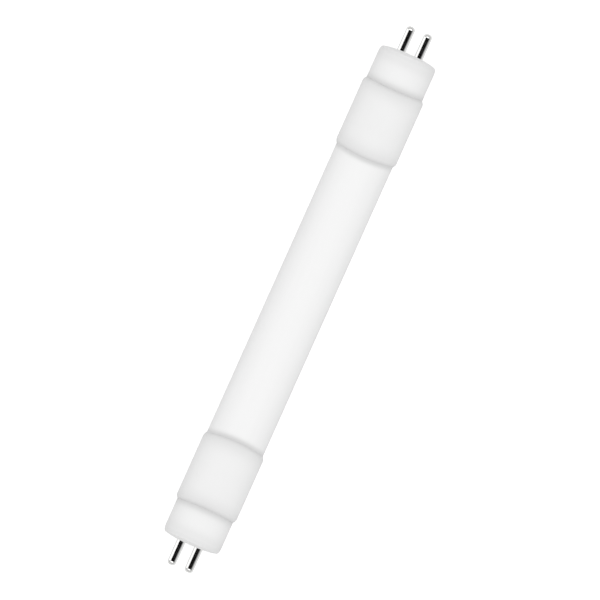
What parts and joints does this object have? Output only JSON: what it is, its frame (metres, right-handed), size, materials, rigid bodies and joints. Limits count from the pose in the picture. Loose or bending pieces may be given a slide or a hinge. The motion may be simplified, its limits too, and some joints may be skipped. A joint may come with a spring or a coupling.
{
  "type": "led tube lamp",
  "caption": "Straight opal light tube with wide joint collars and narrower domed end caps, each carrying parallel contact pins for a bi-pin lampholder.",
  "frame": {"origin": "middle of the lamp: on the tube's axis, half way between the two ends", "axes": "+X along the tube, the two pins of each cap spread along Y, +Z the way the LEDs shine"},
  "size_m": [0.1492, 0.0166, 0.0166],
  "materials": {
    "opal_plastic": "satin",
    "cap_plastic": "satin",
    "collar_plastic": "satin",
    "pin_plating": "polished",
    "board_laminate": "satin",
    "led_package": "gloss",
    "fuse_coating": "gloss",
    "black_epoxy": "matte",
    "capacitor_sleeve": "gloss",
    "resistor_glaze": "gloss",
    "strip_tinning": "satin"
  },
  "bodies": {
    "root": {"diffuser_tube": "opal_plastic", "left_end_cap": "cap_plastic", "left_collar": "collar_plastic", "left_front_pin": "pin_plating", "left_front_strip": "strip_tinning", "left_back_pin": "pin_plating", "left_back_strip": "strip_tinning", "right_end_cap": "cap_plastic", "right_collar": "collar_plastic", "right_front_pin": "pin_plating", "right_front_strip": "strip_tinning", "right_back_pin": "pin_plating", "right_back_strip": "strip_tinning", "led_board": "board_laminate", "led_01": "led_package", "led_02": "led_package", "led_03": "led_package", "led_04": "led_package", "led_05": "led_package", "led_06": "led_package", "led_07": "led_package", "led_08": "led_package", "led_09": "led_package", "led_10": "led_package", "led_11": "led_package", "led_12": "led_package", "led_13": "led_package", "fuse_resistor": "fuse_coating", "bridge_rectifier": "black_epoxy", "driver_chip": "black_epoxy", "smoothing_capacitor": "capacitor_sleeve", "sense_resistor_1": "resistor_glaze", "sense_resistor_2": "resistor_glaze"}
  },
  "joints": []
}
